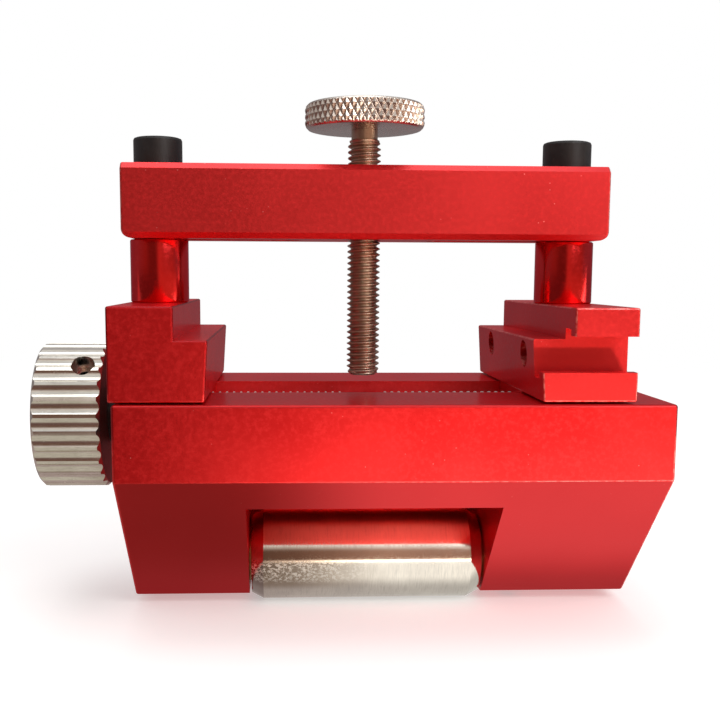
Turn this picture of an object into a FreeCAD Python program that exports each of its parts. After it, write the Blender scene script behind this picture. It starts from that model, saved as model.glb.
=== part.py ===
import FreeCAD, Part
import math
import os

# Side-clamping honing guide (blade sharpening jig), millimetres, +Z up.
# X runs along the lead screw, the front of the tool faces -Y, and the roller
# touches Z = 0.  The thumb screw, the jaws and the clamp bar are centred on
# X = clamp_x, because the base is longer on the side away from the knob.

doc = FreeCAD.newDocument("honing_guide")
sheet = doc.addObject("Spreadsheet::Sheet", "dims")

SIZES = [
    # base block: V-bottomed aluminium block with a T-slot and a roller window
    ("clamp_x", 4.3), ("base_left", -35.8), ("base_len", 87.1),
    ("base_half", 26.0), ("base_top", 38.25), ("base_bottom", 1.85),
    ("wall_high", 12.0), ("foot_half", 4.2), ("base_round", 0.5),
    ("window_mid", 4.825), ("window_half", 20.575), ("window_top", 21.09),
    ("pocket_back", 8.6),
    ("neck_half", 9.0), ("neck_deep", 5.2), ("slot_half", 11.0),
    ("slot_deep", 11.0), ("slot_end", 44.3),
    # lead screw, M8 x 1.25, left-hand on one side and right-hand on the other
    ("screw_z", 33.35), ("screw_rad", 4.0), ("screw_waist", 3.2),
    ("waist_half", 2.45), ("shaft_rad", 3.0), ("journal_rad", 2.5),
    ("run_gap", 0.03), ("thread_gap", 0.08),
    ("plate_thick", 4.0), ("plate_half", 17.8), ("plate_deep", 12.6),
    ("plate_screw_y", 14.0), ("plate_screw_drop", 6.4),
    ("plate_bush_rad", 4.5), ("end_bush_rad", 4.0), ("end_bush_len", 5.0),
    ("washer_thick", 0.5), ("washer_rad", 5.5),
    # knob
    ("knob_left", -51.3), ("knob_len", 11.3), ("knob_rad", 12.5),
    ("knob_cham", 0.55), ("flute_rad", 1.69), ("flute_ring", 13.74),
    ("flutes", 28), ("spacer_rad", 4.75),
    ("grub_x", 8.0), ("grub_rad", 2.0), ("grub_len", 6.5),
    ("grub_angle", 50.0), ("grub_hex", 1.0),
    # jaws
    ("jaw_half", 25.3), ("jaw_low", 38.52), ("jaw_top", 53.1),
    ("ledge_z", 47.98), ("jaw_out", 40.7), ("jaw_in", 25.47),
    ("jaw_foot", 26.04), ("block_in", 30.6),
    ("jaw_round", 0.35),
    ("keel_in", 26.6), ("keel_out", 35.6), ("keel_neck", 8.93),
    ("keel_wide", 10.9), ("keel_step", 5.35), ("keel_deep", 10.8),
    ("tee_low", 43.1), ("tee_high", 48.68), ("tee_lip", 2.3),
    ("tee_deep", 5.28), ("tee_under", 1.05),
    ("pin_hole_rad", 2.25), ("pin_hole_y", 13.0), ("pin_hole_z", 45.15),
    ("pin_hole_deep", 12.0),
    # clamp bar, spacers and cap screws
    ("bar_half", 40.8), ("bar_deep", 8.45), ("bar_low", 63.87),
    ("bar_top", 76.13), ("bar_round", 1.5), ("bar_edge", 0.95),
    ("bar_crisp", 0.4),
    ("post_x", 35.47), ("post_rad", 5.0), ("post_bore", 2.65),
    ("bolt_rad", 2.5), ("bolt_head", 4.15), ("bolt_high", 4.75),
    ("bolt_into", 9.0), ("bolt_hex", 2.0), ("bolt_gap", 0.05),
    ("jaw_travel", 21.875), ("slot_side", 2.65),
    # thumb screw, M6 x 1
    ("rod_rad", 2.85), ("rod_tip", 40.45), ("rod_top", 85.6),
    ("disc_rad", 10.3), ("disc_low", 82.65), ("disc_high", 86.95),
    ("disc_cham", 0.7), ("disc_hole", 2.2),
    # roller and its axle
    ("roller_z", 8.0), ("roller_rad", 8.0), ("roller_len", 40.45),
    ("roller_cham_x", 2.1), ("roller_cham_r", 1.08),
    ("bush_rad", 4.5), ("bush_len", 8.0), ("axle_rad", 3.0),
    ("axle_left", -27.2), ("axle_len", 62.0), ("thrust_rad", 4.8),
    ("thrust_thick", 0.3), ("axle_grub_x", 31.3), ("axle_grub_rad", 1.5),
]
for row, (alias, value) in enumerate(SIZES, 1):
    sheet.set("A%d" % row, alias)
    sheet.set("B%d" % row, str(value))
    sheet.setAlias("B%d" % row, alias)
doc.recompute()
V = dict(SIZES)


def num(expr):
    """Value of an expression written with the sheet's aliases."""
    total = 0.0
    text = expr.replace(" ", "").replace("-", "+-")
    for term in [t for t in text.split("+") if t]:
        sign = 1.0
        if term.startswith("-"):
            sign, term = -1.0, term[1:]
        product = 1.0
        for factor in term.split("*"):
            product *= V[factor] if factor in V else float(factor)
        total += sign * product
    return total


def bind(expr):
    """The same expression with each alias read from the sheet."""
    out, word = "", ""
    for ch in expr + " ":
        if ch.isalnum() or ch in "_.":
            word += ch
        else:
            out += ("dims." + word) if word in V else word
            out += ch
            word = ""
    return out.strip()


def new_body(label, x="0", y="0", z="0"):
    body = doc.addObject("PartDesign::Body", label)
    body.Label = label
    body.Placement = FreeCAD.Placement(
        FreeCAD.Vector(num(x), num(y), num(z)), FreeCAD.Rotation())
    for axis, expr in (("x", x), ("y", y), ("z", z)):
        if expr != "0":
            body.setExpression("Placement.Base." + axis, bind(expr))
    return body


def new_sketch(body, plane, offset="0"):
    sk = body.newObject("Sketcher::SketchObject", body.Label + "_sketch")
    support = [f for f in body.Origin.OriginFeatures if f.Role == plane][0]
    sk.AttachmentSupport = [(support, "")]
    sk.MapMode = "FlatFace"
    sk.AttachmentOffset = FreeCAD.Placement(
        FreeCAD.Vector(0, 0, num(offset)), FreeCAD.Rotation())
    if offset != "0":
        sk.setExpression("AttachmentOffset.Base.z", bind(offset))
    return sk


def place_point(sk, geo, end, px, py):
    import Sketcher
    for kind, expr in (("DistanceX", px), ("DistanceY", py)):
        value = num(expr)
        if abs(value) < 1e-9 and expr == "0":
            other = -2 if kind == "DistanceX" else -1
            sk.addConstraint(Sketcher.Constraint(
                "PointOnObject", geo, end, other))
        else:
            index = sk.addConstraint(
                Sketcher.Constraint(kind, geo, end, value))
            sk.setExpression("Constraints[%d]" % index, bind(expr))


def polygon(body, plane, points, offset="0"):
    """Closed outline through points given as pairs of expressions."""
    import Sketcher
    sk = new_sketch(body, plane, offset)
    xy = [FreeCAD.Vector(num(px), num(py), 0) for px, py in points]
    count = len(xy)
    for i in range(count):
        sk.addGeometry(Part.LineSegment(xy[i], xy[(i + 1) % count]), False)
    for i in range(count):
        sk.addConstraint(Sketcher.Constraint(
            "Coincident", i, 2, (i + 1) % count, 1))
    for i, (px, py) in enumerate(points):
        place_point(sk, i, 1, px, py)
    return sk


def circle(body, plane, px, py, radius, offset="0", sk=None):
    import Sketcher
    if sk is None:
        sk = new_sketch(body, plane, offset)
    geo = sk.addGeometry(Part.Circle(
        FreeCAD.Vector(num(px), num(py), 0), FreeCAD.Vector(0, 0, 1),
        num(radius)), False)
    if px == "0" and py == "0":
        sk.addConstraint(Sketcher.Constraint("Coincident", geo, 3, -1, 1))
    else:
        place_point(sk, geo, 3, px, py)
    index = sk.addConstraint(
        Sketcher.Constraint("Radius", geo, num(radius)))
    sk.setExpression("Constraints[%d]" % index, bind(radius))
    return sk


def volume(body):
    doc.recompute()
    return body.Shape.Volume


def pad(body, sk, length, back=False, both=False):
    feature = body.newObject("PartDesign::Pad", body.Label + "_pad")
    feature.Profile = sk
    feature.Length = num(length)
    feature.setExpression("Length", bind(length))
    if both:
        feature.Midplane = True
    feature.Reversed = back
    doc.recompute()
    return feature


def pocket(body, sk, length, back=False, both=False):
    """Cut; the body must lose material."""
    before = volume(body)
    feature = body.newObject("PartDesign::Pocket", body.Label + "_cut")
    feature.Profile = sk
    feature.Length = num(length)
    feature.setExpression("Length", bind(length))
    if both:
        feature.Midplane = True
    feature.Reversed = back
    after = volume(body)
    if not after < before - 1e-3:
        raise RuntimeError("cut removes nothing in " + body.Label)
    return feature


def revolve(body, sk, axis):
    feature = body.newObject("PartDesign::Revolution", body.Label + "_turn")
    feature.Profile = sk
    feature.ReferenceAxis = (sk, [axis])
    feature.Angle = 360.0
    doc.recompute()
    return feature


def edges_where(feature, test):
    names = []
    for i, edge in enumerate(feature.Shape.Edges, 1):
        a = edge.valueAt(edge.FirstParameter)
        b = edge.valueAt(edge.LastParameter)
        if test(edge, a, b):
            names.append("Edge%d" % i)
    return names


def round_edges(body, feature, radius, test, kind="PartDesign::Fillet"):
    names = edges_where(feature, test)
    if not names:
        raise RuntimeError("no edge to round in " + body.Label)
    extra = body.newObject(kind, body.Label + "_edge")
    extra.Base = (feature, names)
    if kind.endswith("Fillet"):
        extra.Radius = num(radius)
        extra.setExpression("Radius", bind(radius))
    else:
        extra.Size = num(radius)
        extra.setExpression("Size", bind(radius))
    doc.recompute()
    return extra


def hexagon(body, plane, half, offset):
    """Hexagon with its across-flats half width given."""
    pts = []
    for k in range(6):
        c = math.cos(math.radians(60 * k)) / math.cos(math.radians(30))
        s = math.sin(math.radians(60 * k)) / math.cos(math.radians(30))
        pts.append(("%.9f*%s" % (c, half) if abs(c) > 1e-9 else "0",
                    "%.9f*%s" % (s, half) if abs(s) > 1e-9 else "0"))
    return polygon(body, plane, pts, offset)


def flat(v, w, tol=1e-4):
    return abs(v - w) < tol


NODES = []

# ---------------------------------------------------------------- base block
base = new_body("base_block", x="base_left")
sk = polygon(base, "YZ_Plane", [
    ("-base_half", "base_top"), ("-base_half", "base_top-wall_high"),
    ("-foot_half", "base_bottom"), ("foot_half", "base_bottom"),
    ("base_half", "base_top-wall_high"), ("base_half", "base_top")])
block = pad(base, sk, "base_len")
# outer edges are lightly broken all round
L = V["base_len"]
block = round_edges(base, block, "base_round", lambda e, a, b: True)
# roller window, open at the front and below; its back wall stands just
# behind the roller, so the back bevel shows only a low slit
sk = polygon(base, "YZ_Plane", [
    ("-base_half-1", "base_bottom-1"), ("pocket_back", "base_bottom-1"),
    ("pocket_back", "window_top"), ("-base_half-1", "window_top")],
    offset="window_mid-base_left-window_half")
window = pocket(base, sk, "window_half*2", back=True)
# T-slot for the jaw keels, open at the knob end under the bearing plate
sk = polygon(base, "YZ_Plane", [
    ("-neck_half", "base_top+1"), ("-neck_half", "base_top-neck_deep"),
    ("-slot_half", "base_top-neck_deep"), ("-slot_half", "base_top-slot_deep"),
    ("slot_half", "base_top-slot_deep"), ("slot_half", "base_top-neck_deep"),
    ("neck_half", "base_top-neck_deep"), ("neck_half", "base_top+1")])
tslot = pocket(base, sk, "slot_end-base_left", back=True)
# recess for the bearing plate in the knob end
sk = polygon(base, "YZ_Plane", [
    ("-plate_half", "base_top+1"), ("-plate_half", "base_top-plate_deep"),
    ("plate_half", "base_top-plate_deep"), ("plate_half", "base_top+1")])
recess = pocket(base, sk, "plate_thick", back=True)
# blind bore for the end bush of the lead screw
sk = circle(base, "YZ_Plane", "0", "screw_z", "end_bush_rad",
            offset="slot_end-base_left-1")
pocket(base, sk, "end_bush_len+1", back=True)
# tapped holes for the bearing plate screws
sk = circle(base, "YZ_Plane", "-plate_screw_y", "base_top-plate_screw_drop",
            "axle_grub_rad")
circle(base, None, "plate_screw_y", "base_top-plate_screw_drop",
       "axle_grub_rad", sk=sk)
pocket(base, sk, "plate_thick+8", back=True)
# bore for the roller axle, open at the knob end, blind at the other
sk = circle(base, "YZ_Plane", "0", "roller_z", "axle_rad")
pocket(base, sk, "axle_left-base_left+axle_len", back=True)
# tapped hole for the axle's set screw, from the foot
sk = circle(base, "XY_Plane", "axle_grub_x-base_left", "0", "axle_grub_rad",
            offset="base_bottom-1")
pocket(base, sk, "roller_z-base_bottom", back=True)
NODES.append(base)

# -------------------------------------------------- bearing plate, knob end
plate = new_body("bearing_plate", x="base_left")
sk = polygon(plate, "YZ_Plane", [
    ("-plate_half+0.05", "base_top"), ("-plate_half+0.05",
                                       "base_top-plate_deep+0.05"),
    ("plate_half-0.05", "base_top-plate_deep+0.05"),
    ("plate_half-0.05", "base_top")])
pad(plate, sk, "plate_thick")
sk = circle(plate, "YZ_Plane", "0", "screw_z", "plate_bush_rad", offset="-1")
pocket(plate, sk, "plate_thick+2", back=True)
sk = circle(plate, "YZ_Plane", "-plate_screw_y", "base_top-plate_screw_drop",
            "axle_grub_rad+0.1", offset="-1")
circle(plate, None, "plate_screw_y", "base_top-plate_screw_drop",
       "axle_grub_rad+0.1", sk=sk)
holes = pocket(plate, sk, "plate_thick+2", back=True)
# countersinks, 90 degrees
sinks = round_edges(
    plate, holes, "1.45", lambda e, a, b: (
        isinstance(e.Curve, Part.Circle) and flat(a.x, 0) and
        flat(e.Curve.Radius, V["axle_grub_rad"] + 0.1)),
    kind="PartDesign::Chamfer")
NODES.append(plate)

bush = new_body("lead_screw_bush_left", x="base_left", z="screw_z")
sk = circle(bush, "YZ_Plane", "0", "0", "plate_bush_rad")
circle(bush, None, "0", "0", "shaft_rad+run_gap", sk=sk)
pad(bush, sk, "plate_thick")
NODES.append(bush)

bush = new_body("lead_screw_bush_right", x="slot_end", z="screw_z")
sk = circle(bush, "YZ_Plane", "0", "0", "end_bush_rad")
circle(bush, None, "0", "0", "journal_rad+run_gap", sk=sk)
pad(bush, sk, "end_bush_len")
NODES.append(bush)


def cylinder(name, radius, length, x, y, z, axis=(1, 0, 0), angle=None):
    """Part cylinder whose axis starts at x, y, z."""
    obj = doc.addObject("Part::Cylinder", name)
    obj.setExpression("Radius", bind(radius))
    obj.setExpression("Height", bind(length))
    obj.Placement = FreeCAD.Placement(
        FreeCAD.Vector(num(x), num(y), num(z)),
        FreeCAD.Rotation(FreeCAD.Vector(0, 0, 1), FreeCAD.Vector(*axis)))
    for key, expr in (("x", x), ("y", y), ("z", z)):
        obj.setExpression("Placement.Base." + key, bind(expr))
    return obj


def group(label, members):
    obj = doc.addObject("Part::Compound", label)
    obj.Label = label
    obj.Links = members
    doc.recompute()
    NODES.append(obj)
    return obj


# two countersunk M3 screws with hexagon sockets hold the bearing plate
screws = []
for side, name in (("-1", "front"), ("1", "back")):
    y = side + "*plate_screw_y"
    z = "base_top-plate_screw_drop"
    cone = doc.addObject("Part::Cone", "plate_screw_cone_" + name)
    cone.Radius1 = 2.95
    cone.Radius2 = 1.5
    cone.Height = 1.45
    cone.setExpression("Radius2", bind("axle_grub_rad"))
    cone.Placement = FreeCAD.Placement(
        FreeCAD.Vector(num("base_left+0.05"), num(y), num(z)),
        FreeCAD.Rotation(FreeCAD.Vector(0, 0, 1), FreeCAD.Vector(1, 0, 0)))
    cone.setExpression("Placement.Base.x", bind("base_left+0.05"))
    cone.setExpression("Placement.Base.y", bind(y))
    cone.setExpression("Placement.Base.z", bind(z))
    shank = cylinder("plate_screw_shank_" + name, "axle_grub_rad",
                     "plate_thick+4", "base_left+1", y, z)
    body = doc.addObject("Part::Fuse", "plate_screw_" + name)
    body.Base, body.Tool = cone, shank
    hexa = doc.addObject("Part::Prism", "plate_screw_hex_" + name)
    hexa.Polygon = 6
    hexa.Circumradius = 1.15
    hexa.Height = 1.3
    hexa.Placement = FreeCAD.Placement(
        FreeCAD.Vector(num("base_left"), num(y), num(z)),
        FreeCAD.Rotation(FreeCAD.Vector(0, 0, 1), FreeCAD.Vector(1, 0, 0)))
    hexa.setExpression("Placement.Base.x", bind("base_left"))
    hexa.setExpression("Placement.Base.y", bind(y))
    hexa.setExpression("Placement.Base.z", bind(z))
    cut = doc.addObject("Part::Cut", "plate_screw_done_" + name)
    cut.Base, cut.Tool = body, hexa
    screws.append(cut)
group("bearing_plate_screws", screws)

# ---------------------------------------------------------------- lead screw
# turned in one piece: shaft for the knob, two M8 threads, waist, end journal
screw = new_body("lead_screw", z="screw_z")
x0 = "knob_left+0.6"
x1 = "base_left+plate_thick+washer_thick"
x2 = "slot_end-0.3"
x3 = "slot_end+end_bush_len-0.4"
sk = polygon(screw, "XZ_Plane", [
    (x0, "0"), (x0, "shaft_rad-0.3"), (x0 + "+0.3", "shaft_rad"),
    (x1, "shaft_rad"), (x1, "screw_rad-0.5"), (x1 + "+0.5", "screw_rad"),
    ("clamp_x-waist_half-0.7", "screw_rad"),
    ("clamp_x-waist_half", "screw_waist"),
    ("clamp_x+waist_half", "screw_waist"),
    ("clamp_x+waist_half+0.7", "screw_rad"),
    (x2 + "-0.5", "screw_rad"), (x2, "screw_rad-0.5"), (x2, "journal_rad"),
    (x3, "journal_rad"), (x3, "0")])
revolve(screw, sk, "H_Axis")
NODES.append(screw)

washer = new_body("thrust_washer", x="base_left+plate_thick", z="screw_z")
sk = circle(washer, "YZ_Plane", "0", "0", "washer_rad-1.2")
circle(washer, None, "0", "0", "shaft_rad+0.05", sk=sk)
pad(washer, sk, "washer_thick-0.05")
NODES.append(washer)

collar = new_body("knob_spacer", x="knob_left+knob_len", z="screw_z")
sk = circle(collar, "YZ_Plane", "0", "0", "spacer_rad")
circle(collar, None, "0", "0", "shaft_rad+0.02", sk=sk)
pad(collar, sk, "base_left-knob_left-knob_len-0.1")
NODES.append(collar)

# ---------------------------------------------------------------------- knob
knob = new_body("knob", x="knob_left", z="screw_z")
sk = polygon(knob, "XZ_Plane", [
    ("0", "shaft_rad+0.01"), ("0", "knob_rad-knob_cham"),
    ("knob_cham", "knob_rad"), ("knob_len-knob_cham", "knob_rad"),
    ("knob_len", "knob_rad-knob_cham"), ("knob_len", "shaft_rad+0.01")])
turned = revolve(knob, sk, "H_Axis")
# straight flutes round the rim
sk = circle(knob, "YZ_Plane", "flute_ring", "0", "flute_rad", offset="-1")
before = volume(knob)
flute = pocket(knob, sk, "knob_len+2", back=True)
ring = knob.newObject("PartDesign::PolarPattern", "knob_flutes")
ring.Originals = [flute]
ring.Axis = ([f for f in knob.Origin.OriginFeatures
              if f.Role == "X_Axis"][0], [""])
ring.Angle = 360
ring.Occurrences = int(V["flutes"])
ring.setExpression("Occurrences", "dims.flutes")
knob.Tip = ring
if not volume(knob) < before - 20:
    raise RuntimeError("flutes missing")
# radial tapped hole for the set screw
sk = knob.newObject("Sketcher::SketchObject", "knob_grub_sketch")
import Sketcher
sk.AttachmentSupport = [([f for f in knob.Origin.OriginFeatures
                          if f.Role == "XY_Plane"][0], "")]
sk.MapMode = "FlatFace"
tilt = FreeCAD.Rotation(FreeCAD.Vector(1, 0, 0), 90 - V["grub_angle"])
sk.AttachmentOffset = FreeCAD.Placement(FreeCAD.Vector(0, 0, 0), tilt)
geo = sk.addGeometry(Part.Circle(FreeCAD.Vector(V["grub_x"], 0, 0),
                                 FreeCAD.Vector(0, 0, 1),
                                 V["grub_rad"]), False)
sk.addConstraint(Sketcher.Constraint("PointOnObject", geo, 3, -1))
i1 = sk.addConstraint(Sketcher.Constraint("DistanceX", geo, 3, V["grub_x"]))
sk.setExpression("Constraints[%d]" % i1, "dims.grub_x")
i2 = sk.addConstraint(Sketcher.Constraint("Radius", geo, V["grub_rad"]))
sk.setExpression("Constraints[%d]" % i2, "dims.grub_rad")
pocket(knob, sk, "knob_rad+1", back=True)
NODES.append(knob)

# the M4 set screw that grips the shaft, turned to the same angle
grub = new_body("knob_set_screw", x="knob_left+grub_x", z="screw_z")
out = V["grub_angle"]
sk = circle(grub, "XY_Plane", "0", "0", "grub_rad-0.02",
            offset="shaft_rad+0.02")
pad(grub, sk, "grub_len")
sk = hexagon(grub, "XY_Plane", "grub_hex", "shaft_rad+0.02+grub_len")
pocket(grub, sk, "2.2")
grub.Placement = FreeCAD.Placement(
    grub.Placement.Base, FreeCAD.Rotation(FreeCAD.Vector(1, 0, 0), 90 - out))
NODES.append(grub)

# ---------------------------------------------------------------------- jaws
for hand, label in ((-1, "left_jaw"), (1, "right_jaw")):
    jaw = new_body(label, x="clamp_x")
    g = "-1*" if hand < 0 else "1*"
    sk = polygon(jaw, "XZ_Plane", [
        (g + "jaw_foot", "jaw_low"), (g + "jaw_out", "jaw_low"),
        (g + "jaw_out", "jaw_top"), (g + "block_in", "jaw_top"),
        (g + "block_in", "ledge_z"), (g + "jaw_in", "ledge_z")])
    solid = pad(jaw, sk, "jaw_half*2", both=True)
    # every outer edge lightly broken, the inner corner of the ledge sharp
    solid = round_edges(
        jaw, solid, "jaw_round", lambda e, a, b: not (
            flat(abs(a.x), V["block_in"]) and flat(abs(b.x), V["block_in"])
            and flat(a.z, V["ledge_z"]) and flat(b.z, V["ledge_z"])))
    # T-shaped keel that runs in the base's slot and carries the thread
    start = "-1*keel_out" if hand < 0 else "keel_in"
    sk = polygon(jaw, "YZ_Plane", [
        ("-keel_neck", "jaw_low+1"), ("-keel_neck", "base_top-keel_step"),
        ("-keel_wide", "base_top-keel_step"),
        ("-keel_wide", "base_top-keel_deep"),
        ("keel_wide", "base_top-keel_deep"),
        ("keel_wide", "base_top-keel_step"),
        ("keel_neck", "base_top-keel_step"), ("keel_neck", "jaw_low+1")],
        offset=start)
    pad(jaw, sk, "keel_out-keel_in")
    sk = circle(jaw, "YZ_Plane", "0", "screw_z", "screw_rad+thread_gap",
                offset=start + "-0.5")
    pocket(jaw, sk, "keel_out-keel_in+1", back=True)
    # tapped hole for the cap screw
    sk = circle(jaw, "XY_Plane", g + "post_x", "0", "bolt_rad+0.04",
                offset="jaw_top+1")
    pocket(jaw, sk, "bolt_into+2.5")
    if hand > 0:
        # T-slot along the front face for a stop or an attachment
        sk = polygon(jaw, "YZ_Plane", [
            ("-jaw_half-1", "tee_low"), ("-jaw_half+tee_lip", "tee_low"),
            ("-jaw_half+tee_lip", "tee_low-tee_under"),
            ("-jaw_half+tee_deep", "tee_low-tee_under"),
            ("-jaw_half+tee_deep", "tee_high+tee_under"),
            ("-jaw_half+tee_lip", "tee_high+tee_under"),
            ("-jaw_half+tee_lip", "tee_high"),
            ("-jaw_half-1", "tee_high")], offset="jaw_in-2")
        pocket(jaw, sk, "jaw_out-jaw_in+4", back=True)
        # two plain holes in the inner face, for a pinned attachment
        sk = circle(jaw, "YZ_Plane", "-pin_hole_y", "pin_hole_z",
                    "pin_hole_rad", offset="jaw_in-1")
        circle(jaw, None, "pin_hole_y", "pin_hole_z", "pin_hole_rad", sk=sk)
        pocket(jaw, sk, "pin_hole_deep+1", back=True)
    NODES.append(jaw)

# ----------------------------------------------------------------- clamp bar
bar = new_body("clamp_bar", x="clamp_x")
# long edges chamfered, lower end corners rounded, the rest lightly broken
sk = polygon(bar, "YZ_Plane", [
    ("-bar_deep", "bar_low+bar_edge"), ("-bar_deep+bar_edge", "bar_low"),
    ("bar_deep-bar_edge", "bar_low"), ("bar_deep", "bar_low+bar_edge"),
    ("bar_deep", "bar_top-bar_edge"), ("bar_deep-bar_edge", "bar_top"),
    ("-bar_deep+bar_edge", "bar_top"), ("-bar_deep", "bar_top-bar_edge")])
solid = pad(bar, sk, "bar_half*2", both=True)
low = V["bar_low"]
solid = round_edges(bar, solid, "bar_round", lambda e, a, b: (
    flat(abs(a.x), V["bar_half"]) and flat(a.x, b.x)
    and flat(a.z, low) and flat(b.z, low)))
solid = round_edges(bar, solid, "bar_crisp", lambda e, a, b: (
    flat(abs(a.x), V["bar_half"]) and flat(a.x, b.x)
    and min(a.z, b.z) > low + 1.0))
# slots that let the cap screws follow the jaws
for outer, inner in (("-post_x", "-post_x+jaw_travel"),
                     ("post_x", "post_x-jaw_travel")):
    sk = polygon(bar, "XY_Plane", [
        (outer, "-slot_side"), (outer, "slot_side"),
        (inner, "slot_side"), (inner, "-slot_side")], offset="bar_top+1")
    pocket(bar, sk, "bar_top-bar_low+2")
    for end in (outer, inner):
        sk = circle(bar, "XY_Plane", end, "0", "slot_side",
                    offset="bar_top+1")
        pocket(bar, sk, "bar_top-bar_low+2")
# tapped hole for the thumb screw
sk = circle(bar, "XY_Plane", "0", "0", "rod_rad+thread_gap",
            offset="bar_top+1")
pocket(bar, sk, "bar_top-bar_low+2")
NODES.append(bar)

for g, side in (("-1*", "left"), ("1*", "right")):
    post = new_body(side + "_spacer", x="clamp_x+" + g + "post_x",
                    z="jaw_top")
    sk = polygon(post, "XZ_Plane", [
        ("post_bore", "0"), ("post_rad-0.15", "0"), ("post_rad", "0.15"),
        ("post_rad", "bar_low-jaw_top-0.2"),
        ("post_rad-0.15", "bar_low-jaw_top-bolt_gap"),
        ("post_bore", "bar_low-jaw_top-bolt_gap")])
    revolve(post, sk, "V_Axis")
    NODES.append(post)

    bolt = new_body(side + "_cap_screw", x="clamp_x+" + g + "post_x",
                    z="bar_top+bolt_gap")
    foot = "jaw_top-bar_top-bolt_into"
    sk = polygon(bolt, "XZ_Plane", [
        ("0", foot), ("bolt_rad-0.5", foot), ("bolt_rad", foot + "+0.5"),
        ("bolt_rad", "0"), ("bolt_head", "0"),
        ("bolt_head", "bolt_high-0.45"), ("bolt_head-0.13", "bolt_high-0.13"),
        ("bolt_head-0.45", "bolt_high"), ("0", "bolt_high")])
    revolve(bolt, sk, "V_Axis")
    sk = hexagon(bolt, "XY_Plane", "bolt_hex", "bolt_high")
    pocket(bolt, sk, "2.5")
    NODES.append(bolt)

# --------------------------------------------------------------- thumb screw
rod = new_body("thumb_screw_rod", x="clamp_x", z="rod_tip")
sk = polygon(rod, "XZ_Plane", [
    ("0", "0"), ("rod_rad-0.6", "0"), ("rod_rad", "0.6"),
    ("rod_rad", "disc_low-rod_tip"), ("disc_hole", "disc_low-rod_tip"),
    ("disc_hole", "rod_top-rod_tip"), ("0", "rod_top-rod_tip")])
revolve(rod, sk, "V_Axis")
NODES.append(rod)

disc = new_body("thumb_screw_head", x="clamp_x", z="disc_low")
sk = polygon(disc, "XZ_Plane", [
    ("disc_hole+0.03", "0.02"), ("disc_rad-disc_cham", "0.02"),
    ("disc_rad", "disc_cham"), ("disc_rad", "disc_high-disc_low-disc_cham"),
    ("disc_rad-disc_cham", "disc_high-disc_low"),
    ("0", "disc_high-disc_low"), ("0", "rod_top-disc_low+0.02"),
    ("disc_hole+0.03", "rod_top-disc_low+0.02")])
revolve(disc, sk, "V_Axis")
NODES.append(disc)

# -------------------------------------------------------------------- roller
left = "window_mid-0.5*roller_len"
roll = new_body("roller", x=left, z="roller_z")
sk = polygon(roll, "XZ_Plane", [
    ("0", "bush_rad"), ("0", "roller_rad-roller_cham_r"),
    ("roller_cham_x", "roller_rad"),
    ("roller_len-roller_cham_x", "roller_rad"),
    ("roller_len", "roller_rad-roller_cham_r"), ("roller_len", "bush_rad")])
revolve(roll, sk, "H_Axis")
NODES.append(roll)

for side, x in (("left", left), ("right", left + "+roller_len-bush_len")):
    bush = new_body("roller_bush_" + side, x=x, z="roller_z")
    sk = circle(bush, "YZ_Plane", "0", "0", "bush_rad")
    circle(bush, None, "0", "0", "axle_rad+run_gap", sk=sk)
    pad(bush, sk, "bush_len")
    NODES.append(bush)

axle = new_body("roller_axle", x="axle_left", z="roller_z")
sk = polygon(axle, "XZ_Plane", [
    ("0", "0"), ("0", "axle_rad-0.4"), ("0.4", "axle_rad"),
    ("axle_len-0.4", "axle_rad"), ("axle_len", "axle_rad-0.4"),
    ("axle_len", "0")])
revolve(axle, sk, "H_Axis")
NODES.append(axle)

pieces = []
for name, x in (("left", "window_mid-window_half+0.01"),
                ("right", "window_mid+window_half-thrust_thick-0.01")):
    outer = cylinder("thrust_outer_" + name, "thrust_rad", "thrust_thick",
                     x, "0", "roller_z")
    inner = cylinder("thrust_inner_" + name, "axle_rad+run_gap",
                     "thrust_thick+2", x + "-1", "0", "roller_z")
    cut = doc.addObject("Part::Cut", "thrust_" + name)
    cut.Base, cut.Tool = outer, inner
    pieces.append(cut)
group("roller_washers", pieces)

grub = new_body("axle_set_screw", x="axle_grub_x", z="base_bottom+0.15")
sk = circle(grub, "XY_Plane", "0", "0", "axle_grub_rad-0.02")
pad(grub, sk, "roller_z-axle_rad-base_bottom-0.2")
sk = hexagon(grub, "XY_Plane", "0.5*axle_grub_rad", "0")
pocket(grub, sk, "1.4", back=True)
NODES.append(grub)

# --------------------------------------------------------- check and export
doc.recompute()
bad = []
for obj in doc.Objects:
    if "Invalid" in obj.State or "Error" in obj.State:
        bad.append(obj.Name + " " + ",".join(obj.State))
total = {}
for obj in NODES:
    shape = obj.Shape
    if shape.isNull() or not shape.isValid() or not shape.Solids:
        bad.append(obj.Label + " has no valid shape")
    else:
        total[obj.Label] = (len(shape.Solids), round(shape.Volume, 2))
if bad:
    raise RuntimeError("; ".join(bad))
os.makedirs("parts", exist_ok=True)
for obj in NODES:
    obj.Shape.exportStep("parts/" + obj.Label + ".step")
for label, facts in total.items():
    print(label, facts)
print(len(total), "nodes")
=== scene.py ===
import math

import bpy
import numpy as np
from mathutils import Matrix, Vector


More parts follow.
